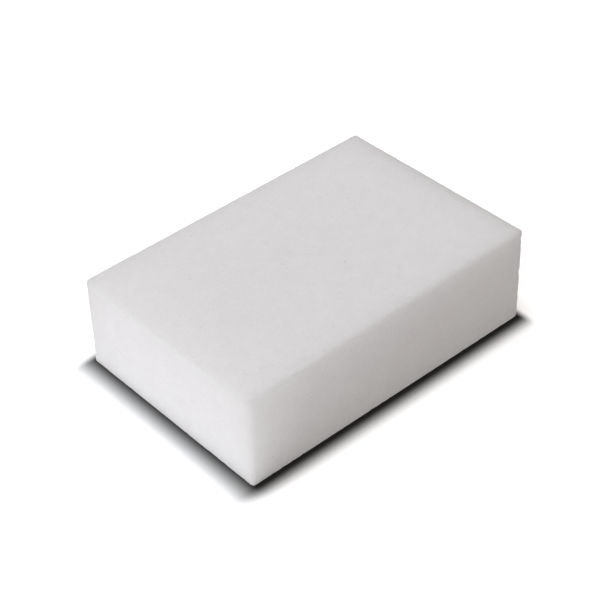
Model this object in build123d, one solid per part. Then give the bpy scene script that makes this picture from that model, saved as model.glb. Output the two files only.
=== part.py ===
"""Applicator sponge: one hand-sized block of fine, white, open-cell foam.

The block is sawn from a larger bun of foam, so its six faces are flat but not
quite square to each other, and its edges are slightly rolled where the foam
gives way under the saw.

Frame: the origin is the centre of the base, +X runs along the length, +Y
across the width and +Z up through the thickness. Lengths are in millimetres.
"""

import os
from math import atan2, degrees

from build123d import *

# Outside sizes, as sawn
length = 101.0
width = 68.0
thickness = 30.0  # halfway along the length

# How far the saw ran off square
top_rise = 1.6  # the top climbs by this from the -X end to the +X end
side_lean = 0.55  # the -Y side leans in by this at the height of the thickness

# Every edge is rolled to this radius
edge_radius = 1.0


def sawn_slab():
    """The slab as sliced from the bun: a flat base, and a top that climbs towards +X."""
    low_end = thickness - top_rise / 2
    high_end = thickness + top_rise / 2
    side_profile = Polygon(
        (-length / 2, 0),
        (length / 2, 0),
        (length / 2, high_end),
        (-length / 2, low_end),
        align=None,
    )
    return extrude(Plane.XZ * side_profile, amount=width / 2, both=True)


def lean_side(slab):
    """The same slab with its -Y side leaning in, hinged where it meets the base."""
    side = slab.faces().sort_by(Axis.Y)[0]
    angle = degrees(atan2(side_lean, thickness))
    return draft(side, neutral_plane=Plane.XY, angle=angle)


def sponge_block():
    """The finished block, with its twelve edges and eight corners rolled."""
    block = lean_side(sawn_slab())
    return fillet(block.edges(), radius=edge_radius)


parts = {"sponge_block": sponge_block()}

os.makedirs("parts", exist_ok=True)
for node, solid in parts.items():
    export_step(solid, f"parts/{node}.step")
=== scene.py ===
import math
import random

import bmesh
import bpy
from mathutils import Matrix, Vector, noise


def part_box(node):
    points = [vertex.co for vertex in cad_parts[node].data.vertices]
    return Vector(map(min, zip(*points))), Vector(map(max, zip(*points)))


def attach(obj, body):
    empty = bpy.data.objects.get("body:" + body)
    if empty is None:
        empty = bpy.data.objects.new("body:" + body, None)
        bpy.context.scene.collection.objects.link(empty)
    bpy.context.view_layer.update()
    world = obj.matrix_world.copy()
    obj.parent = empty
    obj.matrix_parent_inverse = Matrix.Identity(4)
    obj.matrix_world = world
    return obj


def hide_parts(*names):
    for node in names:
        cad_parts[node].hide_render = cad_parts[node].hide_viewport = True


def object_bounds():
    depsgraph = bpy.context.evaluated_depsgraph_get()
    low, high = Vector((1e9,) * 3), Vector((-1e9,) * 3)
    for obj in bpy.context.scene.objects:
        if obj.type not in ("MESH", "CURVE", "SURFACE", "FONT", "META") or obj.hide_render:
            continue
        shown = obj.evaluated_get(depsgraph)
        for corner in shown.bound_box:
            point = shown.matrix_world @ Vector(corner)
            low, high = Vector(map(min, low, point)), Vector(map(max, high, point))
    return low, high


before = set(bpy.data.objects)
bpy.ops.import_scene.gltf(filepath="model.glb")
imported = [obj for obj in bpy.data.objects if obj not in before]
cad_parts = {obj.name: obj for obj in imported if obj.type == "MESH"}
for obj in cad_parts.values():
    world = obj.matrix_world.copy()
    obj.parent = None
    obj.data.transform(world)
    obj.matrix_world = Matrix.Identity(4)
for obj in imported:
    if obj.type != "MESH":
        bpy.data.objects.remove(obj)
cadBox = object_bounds()
cadLow, cadHigh = cadBox
print("frame loaded")


# The foam block: sizes in metres, as the saw left it
block = {
    "edgeRadius": 0.0010,  # every edge is rolled by this
    "softRoll": (0.0009, 0.0014, 0.0004),  # and by this much more along x, y, z round the -X -Y top corner
    "softFade": (0.006, 0.020, 0.020),  # which fades out towards the +X end, the +Y side and the base
    "topRise": 0.0016,  # the top climbs by this from the -X end to the +X end
    "sideLean": 0.00055,  # the -Y side leans in by this up to the middle thickness
    "rim": 0.0020,  # width of the finely gridded strip along each edge
    "rimStep": 0.00020,
    "faceStep": 0.00060,
    "wander": 0.000035,  # slow waver of the sawn faces
    "wanderLength": 0.011,
    "grain": 0.000018,  # clumps of cells standing proud
    "grainLength": 0.0014,
    "nick": 0.00034,  # crumbled bits, deepest on the upright edges that stayed sharp
    "nickLength": 0.0017,
    "nickPlace": (5, 9, 2),  # where in the noise they lie
    "nickFrom": 0.06,  # noise above this bites in
    "nickFull": 0.6,  # and above this all the way
    "flatEdgeNick": 0.3,  # share of the nick depth on the eight level edges
    "pits": 260,  # burst cells
    "pitSeed": 11,
    "pitRim": (0.22, 0.32),  # least and most, as shares of faceStep
    "pitDepth": (0.1, 0.3),
    "pitMark": (0.5, 1.0),  # how much of the pit's painted shade each corner takes
}


# A box over the block's size, gridded finely along its edges and wider over its faces
def griddedBox(length, width, thickness):
    bm = bmesh.new()
    bmesh.ops.create_cube(bm, size=1.0)
    size = Vector((length, width, thickness))
    middle = Vector((0, 0, thickness / 2))
    bmesh.ops.scale(bm, vec=size, verts=bm.verts)
    bmesh.ops.translate(bm, vec=middle, verts=bm.verts)
    for axis in range(3):
        across = Vector([float(i == axis) for i in range(3)])
        for side in (-1, 1):
            bmesh.ops.bisect_plane(
                bm,
                geom=bm.verts[:] + bm.edges[:] + bm.faces[:],
                dist=1e-6,
                plane_co=middle + side * (size[axis] / 2 - block["rim"]) * across,
                plane_no=across,
            )
        along = [e for e in bm.edges if abs((e.verts[1].co - e.verts[0].co)[axis]) > 1e-5]
        between = 1.5 * block["rim"]  # longer than a rim's width, and shorter than any face
        long = [e for e in along if e.calc_length() > between]
        short = [e for e in along if e.calc_length() <= between]
        for edges, step in ((long, block["faceStep"]), (short, block["rimStep"])):
            cuts = round(edges[0].calc_length() / step) - 1
            bmesh.ops.subdivide_edges(bm, edges=edges, cuts=cuts, use_grid_fill=True)
    return bm


# Each of the six faces gets its own patch of one square map, all at the same scale
def unfold(bm, length, width, thickness):
    gap = 0.0012  # between the patches
    whole = max(length + 2 * thickness, 2 * width + thickness) + 4 * gap
    patches = {  # face direction: lower left corner, then the axes that run right and up
        (2, 1): (gap, gap, 0, 1),
        (2, -1): (gap, width + 2 * gap, 0, 1),
        (1, 1): (length + 2 * gap, gap, 2, 0),
        (1, -1): (length + thickness + 3 * gap, gap, 2, 0),
        (0, 1): (gap, 2 * width + 3 * gap, 1, 2),
        (0, -1): (width + 2 * gap, 2 * width + 3 * gap, 1, 2),
    }
    start = Vector((-length / 2, -width / 2, 0))
    uv = bm.loops.layers.uv.new("OFBake")
    for face in bm.faces:
        axis = max(range(3), key=lambda i: abs(face.normal[i]))
        left, low, across, up = patches[axis, 1 if face.normal[axis] > 0 else -1]
        for loop in face.loops:
            place = loop.vert.co - start
            loop[uv].uv = ((left + place[across]) / whole, (low + place[up]) / whole)


# 0 up to low and 1 from high on, with an even curve between
def smooth(low, high, value):
    t = min(max((value - low) / (high - low), 0), 1)
    return t * t * (3 - 2 * t)


# Rolls the edges, roughens the skin and tilts the faces
def weather(bm, length, width, thickness):
    radius = block["edgeRadius"]
    half = Vector((length / 2, width / 2, thickness / 2))
    middle = Vector((0, 0, half.z))
    for vert in bm.verts:
        place = vert.co - middle
        inset = sorted((half[i] - abs(place[i]), i) for i in range(3))
        upright = inset[2][1] == 2  # nearest edge stands upright
        soft = 1.0
        for clear, fade in zip((half.x - place.x, half.y - place.y, half.z + place.z), block["softFade"]):
            soft *= smooth(0, fade, clear)
        roll = Vector([radius + soft * extra for extra in block["softRoll"]])
        core = Vector([min(max(place[i], roll[i] - half[i]), half[i] - roll[i]) for i in range(3)])
        out = Vector([(place[i] - core[i]) / roll[i] for i in range(3)]).normalized()

        skin = block["wander"] * noise.noise(place / block["wanderLength"])
        skin += block["grain"] * noise.noise(place / block["grainLength"])
        nearEdge = 1 - smooth(0, block["rim"], inset[1][0])
        bite = noise.noise(place / block["nickLength"] + Vector(block["nickPlace"]))
        bite = smooth(block["nickFrom"], block["nickFull"], bite)
        depth = (1 - soft) * block["nick"] * (1 if upright else block["flatEdgeNick"])
        skin -= depth * bite * nearEdge

        vert.co = core + out * roll + out * skin + middle
        vert.co.z += block["topRise"] * vert.co.x / length * vert.co.z / thickness
        vert.co.y += block["sideLean"] * vert.co.z / thickness * (0.5 - vert.co.y / width)
        vert.co.z = max(vert.co.z, 0)


# Small burst cells, sunk straight into the faces and marked for the shade painted into them
def pit(bm):
    mark = bm.verts.layers.float.new("pit")
    chance = random.Random(block["pitSeed"])
    big = [f for f in bm.faces if f.calc_area() > 0.5 * block["faceStep"] ** 2]  # none on the rims
    for face in chance.sample(big, block["pits"]):
        bmesh.ops.inset_individual(
            bm,
            faces=[face],
            thickness=chance.uniform(*block["pitRim"]) * block["faceStep"],
            depth=-chance.uniform(*block["pitDepth"]) * block["faceStep"],
        )
        for vert in face.verts:
            vert[mark] = chance.uniform(*block["pitMark"])


def makeBlock():
    low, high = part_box("sponge_block")
    length = high.x - low.x
    width = 2 * high.y
    thickness = high.z - block["topRise"] * (0.5 - block["edgeRadius"] / length)
    bm = griddedBox(length, width, thickness)
    unfold(bm, length, width, thickness)
    weather(bm, length, width, thickness)
    pit(bm)
    for face in bm.faces:
        face.smooth = True
    mesh = bpy.data.meshes.new("foam_block")
    bm.to_mesh(mesh)
    bm.free()
    piece = bpy.data.objects.new("foam_block", mesh)
    bpy.context.scene.collection.objects.link(piece)
    return piece


# The foam's finish: lengths in metres
foam = {
    "light": (0.935, 0.920, 0.926, 1),
    "dark": (0.910, 0.895, 0.901, 1),
    "hollow": (0.62, 0.61, 0.605, 1),  # painted shade inside an open cell
    "mottle": 0.0040,  # size of the faint cloudy patches
    "mottleDetail": 4.0,
    "mottleEnds": (0.3, 0.7),  # the clouds are dark below the first and light above the second
    "cell": 0.00036,
    "cellMouth": (0.1, 0.6),  # a cell is open within the first share of its size, and shut past the second
    "cellShade": 0.30,  # how far the mouth of the widest cells goes towards the painted hollow shade
    # painted shade in the burst cells
    "pitShade": 0.28,
    "cellBump": 0.00006,
    "clump": 0.0011,
    "clumpDetail": 2.0,
    "clumpBump": 0.00006,
    "glow": 0.018,  # how far light soaks in
    "glowShare": 0.9,
    "sheen": 0.15,
    "rough": (0.88, 1.0),  # between the cells and in their mouths
}


def newMaterial(name):
    material = bpy.data.materials.new(name)
    material.use_nodes = True
    tree = material.node_tree
    tree.nodes.clear()
    return material, tree


# Each input is a plain value, or another node's socket that is linked to it
def addNode(tree, kind, inputs=None, **settings):
    node = tree.nodes.new(kind)
    for name, value in settings.items():
        setattr(node, name, value)
    for name, value in (inputs or {}).items():
        if isinstance(value, bpy.types.NodeSocket):
            tree.links.new(value, node.inputs[name])
        else:
            node.inputs[name].default_value = value
    return node


def finishFoam():
    material, tree = newMaterial("whiteFoam")
    place = addNode(tree, "ShaderNodeTexCoord").outputs["Object"]

    # Faint cloudy patches
    clouds = addNode(
        tree,
        "ShaderNodeTexNoise",
        {"Vector": place, "Scale": 1 / foam["mottle"], "Detail": foam["mottleDetail"]},
    ).outputs["Fac"]
    ramp = addNode(tree, "ShaderNodeValToRGB", {"Fac": clouds})
    darkStop, lightStop = ramp.color_ramp.elements
    darkStop.position, lightStop.position = foam["mottleEnds"]
    darkStop.color = foam["dark"]
    lightStop.color = foam["light"]

    # Open cells, each as wide open as chance has it, with shade painted into their mouths
    cells = addNode(tree, "ShaderNodeTexVoronoi", {"Vector": place, "Scale": 1 / foam["cell"]})
    chance = addNode(tree, "ShaderNodeSeparateColor", {"Color": cells.outputs["Color"]}).outputs["Red"]
    wide, shut = foam["cellMouth"]
    mouth = addNode(
        tree,
        "ShaderNodeMapRange",
        {
            "Value": cells.outputs["Distance"],
            "From Min": wide,
            "From Max": shut,
            "To Min": 1.0,
            "To Max": 0.0,
        },
    ).outputs["Result"]
    opening = addNode(tree, "ShaderNodeMath", {0: mouth, 1: chance}, operation="MULTIPLY").outputs["Value"]
    pits = addNode(tree, "ShaderNodeAttribute", attribute_name="pit").outputs["Fac"]
    pitShade = addNode(
        tree, "ShaderNodeMath", {0: pits, 1: foam["pitShade"]}, operation="MULTIPLY"
    ).outputs["Value"]
    # Painted shade: the mouths of open cells and the burst cells go darker towards the hollow shade
    shade = addNode(
        tree,
        "ShaderNodeMath",
        {0: opening, 1: foam["cellShade"], 2: pitShade},
        operation="MULTIPLY_ADD",
    ).outputs["Value"]
    colour = addNode(
        tree,
        "ShaderNodeMix",
        {"Factor": shade, "A": ramp.outputs["Color"], "B": foam["hollow"]},
        data_type="RGBA",
    ).outputs["Result"]

    # The skin rises in clumps and sinks at each open cell
    clumps = addNode(
        tree,
        "ShaderNodeTexNoise",
        {"Vector": place, "Scale": 1 / foam["clump"], "Detail": foam["clumpDetail"]},
    ).outputs["Fac"]
    clumpBump = addNode(
        tree, "ShaderNodeBump", {"Strength": 1.0, "Distance": foam["clumpBump"], "Height": clumps}
    ).outputs["Normal"]
    cellBump = addNode(
        tree,
        "ShaderNodeBump",
        {"Strength": 1.0, "Distance": foam["cellBump"], "Height": opening, "Normal": clumpBump},
        invert=True,
    ).outputs["Normal"]
    leastRough, mostRough = foam["rough"]
    rough = addNode(
        tree, "ShaderNodeMapRange", {"Value": opening, "To Min": leastRough, "To Max": mostRough}
    ).outputs["Result"]
    surface = addNode(
        tree,
        "ShaderNodeBsdfPrincipled",
        {
            "Base Color": colour,
            "Roughness": rough,
            "Specular IOR Level": foam["sheen"],
            "Subsurface Weight": foam["glowShare"],
            "Subsurface Radius": (1.0, 1.0, 1.0),
            "Subsurface Scale": foam["glow"],
            "Normal": cellBump,
        },
    ).outputs["BSDF"]
    addNode(tree, "ShaderNodeOutputMaterial", {"Surface": surface})
    return material


sponge = makeBlock()
sponge.data.materials.append(finishFoam())
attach(sponge, "root")
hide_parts("sponge_block")
print("foam block made,", len(sponge.data.polygons), "faces")


# A pale floor that shows white, darkens where the block shades it, and has a contact shadow painted round
# the block's outline
ground = {
    "size": 6.0,
    "gap": 0.0001,  # the floor lies this far below the block
    "unseen": 0.85,  # how much light it sends back up
    "seen": (1.87, 1.90, 1.90, 1),  # how pale it looks to the camera
    "seamShade": (0.038, 0.038, 0.038, 1),  # the painted contact shadow's colour, where the block touches it
    "seamInset": (0.0022, 0, 0),  # the painted contact shadow starts under the block at the lit end
    "seamLow": (0.0135, 0.0067, 1.0),  # how far it spreads towards -X and -Y
    "seamHigh": (0.0034, 0.0045, 1.0),  # and towards +X and +Y
    "seamDark": 0.05,  # it is darkest over this share of the way
    "whiteFrom": 0.16,  # this far from the middle, the floor begins to turn plain white
    "whiteBy": 0.32,
}


# 1 for what the camera sees, in a gloss or through glass too
def seenDirectly(tree):
    path = addNode(tree, "ShaderNodeLightPath")
    glossy = addNode(
        tree,
        "ShaderNodeMath",
        {0: path.outputs["Is Camera Ray"], 1: path.outputs["Is Glossy Ray"]},
        operation="MAXIMUM",
    ).outputs["Value"]
    return addNode(
        tree,
        "ShaderNodeMath",
        {0: glossy, 1: path.outputs["Is Transmission Ray"]},
        operation="MAXIMUM",
    ).outputs["Value"]


# A level sheet that the object stands over
def sheet(name, length, width, below, material):
    bm = bmesh.new()
    bmesh.ops.create_grid(bm, x_segments=1, y_segments=1, size=0.5)
    bmesh.ops.scale(bm, vec=(length, width, 1), verts=bm.verts)
    bmesh.ops.translate(bm, vec=(0, 0, -below), verts=bm.verts)
    mesh = bpy.data.meshes.new(name)
    bm.to_mesh(mesh)
    bm.free()
    mesh.materials.append(material)
    piece = bpy.data.objects.new(name, mesh)
    bpy.context.scene.collection.objects.link(piece)


def vectorMath(tree, operation, first, second):
    node = addNode(tree, "ShaderNodeVectorMath", {0: first, 1: second}, operation=operation)
    return node.outputs["Vector"]


def finishFloor():
    material, tree = newMaterial("paleFloor")
    place = addNode(tree, "ShaderNodeTexCoord").outputs["Object"]

    # A painted contact shadow, by how far a spot lies outside the block's outline
    starts = Vector(cadLow) + Vector(ground["seamInset"])
    pastLow = vectorMath(tree, "DIVIDE", vectorMath(tree, "SUBTRACT", starts, place), ground["seamLow"])
    pastHigh = vectorMath(tree, "DIVIDE", vectorMath(tree, "SUBTRACT", place, cadHigh), ground["seamHigh"])
    past = vectorMath(tree, "MAXIMUM", vectorMath(tree, "MAXIMUM", pastLow, pastHigh), (0, 0, 0))
    share = addNode(tree, "ShaderNodeVectorMath", {0: past}, operation="LENGTH").outputs["Value"]
    clear = addNode(
        tree,
        "ShaderNodeMapRange",
        {"Value": share, "From Min": ground["seamDark"]},
        interpolation_type="SMOOTHSTEP",
    ).outputs["Result"]
    seam = addNode(
        tree,
        "ShaderNodeMix",
        {"Factor": clear, "A": ground["seamShade"], "B": ground["seen"]},
        data_type="RGBA",
    ).outputs["Result"]
    near = addNode(tree, "ShaderNodeBsdfDiffuse", {"Color": seam}).outputs["BSDF"]

    # Far off it turns as white as the backdrop
    away = addNode(tree, "ShaderNodeVectorMath", {0: place}, operation="LENGTH").outputs["Value"]
    whiteness = addNode(
        tree,
        "ShaderNodeMapRange",
        {"Value": away, "From Min": ground["whiteFrom"], "From Max": ground["whiteBy"]},
    ).outputs["Result"]
    far = addNode(tree, "ShaderNodeEmission", {"Strength": 1.0}).outputs["Emission"]
    seen = addNode(tree, "ShaderNodeMixShader", {0: whiteness, 1: near, 2: far}).outputs["Shader"]
    unseen = addNode(tree, "ShaderNodeBsdfDiffuse", {"Color": [ground["unseen"]] * 3 + [1]}).outputs["BSDF"]
    mixed = addNode(tree, "ShaderNodeMixShader", {0: seenDirectly(tree), 1: unseen, 2: seen})
    addNode(tree, "ShaderNodeOutputMaterial", {"Surface": mixed.outputs["Shader"]})
    return material


# Light that soaks down through the foam comes back up from a sheet between the block and the floor
returned = {
    "strength": 0.37,
    "gap": 0.00003,  # it lies this far below the block
    "inset": 0.00075,  # and starts this far inside the block's outline
}


def finishReturn():
    material, tree = newMaterial("returnedLight")
    light = addNode(tree, "ShaderNodeEmission", {"Strength": returned["strength"]}).outputs["Emission"]
    addNode(tree, "ShaderNodeOutputMaterial", {"Surface": light})
    return material


sheet("floor", ground["size"], ground["size"], ground["gap"], finishFloor())
length = cadHigh[0] - cadLow[0] - 2 * returned["inset"]
width = cadHigh[1] - cadLow[1] - 2 * returned["inset"]
sheet("returned", length, width, returned["gap"], finishReturn())
print("floor laid")


# One soft box high behind the left shoulder: angles in degrees, lengths in metres
highBox = {
    "bearing": -135,
    "height": 75,
    "away": 1.0,
    "side": 0.8,
    "watts": 5.92,
    "tint": (0.895, 0.935, 1.00),
}
# A lit card that lies on the floor beside the -X end and fills it from below
card = {
    "gap": 0.0002,  # clear of the block
    "reach": 0.25,
    "front": -0.25,
    "back": 0.08,
    "above": 0.0001,  # over the level of the base
    "watts": 0.200,
    "tint": (0.93, 0.95, 1.00),
}
room = {"glow": (0.292, 0.263, 0.236, 1), "backdrop": (1, 1, 1, 1)}


# A unit vector from the block towards that bearing, where 0 is -Y and 90 is +X
def towards(bearing, height):
    turn, rise = math.radians(bearing), math.radians(height)
    return Vector((math.sin(turn) * math.cos(rise), -math.cos(turn) * math.cos(rise), math.sin(rise)))


def lookingFrom(back, place, roll=0.0):
    turn = back.to_track_quat("Z", "Y").to_matrix().to_4x4()
    return Matrix.Translation(place) @ turn @ Matrix.Rotation(roll, 4, "Z")


def hangLamp(name, settings, length, width, placed):
    light = bpy.data.lights.new(name, "AREA")
    light.shape = "RECTANGLE"
    light.size = length
    light.size_y = width
    light.energy = settings["watts"]
    light.color = settings["tint"]
    holder = bpy.data.objects.new(name, light)
    bpy.context.scene.collection.objects.link(holder)
    holder.visible_camera = False
    holder.matrix_world = placed


def lightRoom(centre):
    back = towards(highBox["bearing"], highBox["height"])
    placed = lookingFrom(back, centre + highBox["away"] * back)
    hangLamp("highBox", highBox, highBox["side"], highBox["side"], placed)

    near = cadLow[0] - card["gap"]
    place = Vector((near - card["reach"] / 2, (card["front"] + card["back"]) / 2, card["above"]))
    placed = lookingFrom(Vector((0, 0, -1)), place)
    hangLamp("card", card, card["reach"], card["back"] - card["front"], placed)

    world = bpy.data.worlds.new("studio")
    world.use_nodes = True
    tree = world.node_tree
    tree.nodes.clear()
    glow = addNode(tree, "ShaderNodeBackground", {"Color": room["glow"]}).outputs["Background"]
    white = addNode(tree, "ShaderNodeBackground", {"Color": room["backdrop"]}).outputs["Background"]
    mixed = addNode(tree, "ShaderNodeMixShader", {0: seenDirectly(tree), 1: glow, 2: white})
    addNode(tree, "ShaderNodeOutputWorld", {"Surface": mixed.outputs["Shader"]})
    bpy.context.scene.world = world


# The camera looks down on the front left corner: angles in degrees
eye = {
    "bearing": -41.46,
    "height": 38.96,
    "roll": -1.13,
    "away": 0.443,
    "lens": 95.3,  # millimetres
    "sensor": 36,
    "right": -0.00236,  # the aim, off the block's centre
    "up": -0.00102,
}


def placeCamera(centre):
    camera = bpy.data.cameras.new("camera")
    camera.lens = eye["lens"]
    camera.sensor_width = eye["sensor"]
    holder = bpy.data.objects.new("camera", camera)
    bpy.context.scene.collection.objects.link(holder)
    back = towards(eye["bearing"], eye["height"])
    turn = lookingFrom(back, Vector(), math.radians(eye["roll"]))
    aim = centre + turn @ Vector((eye["right"], eye["up"], 0))
    holder.matrix_world = Matrix.Translation(aim + eye["away"] * back) @ turn
    bpy.context.scene.camera = holder


middle = Vector((0, 0, (cadHigh[2] + cadLow[2]) / 2))
lightRoom(middle)
placeCamera(middle)
bpy.context.scene.view_settings.view_transform = "Standard"
print("lamps and camera placed")
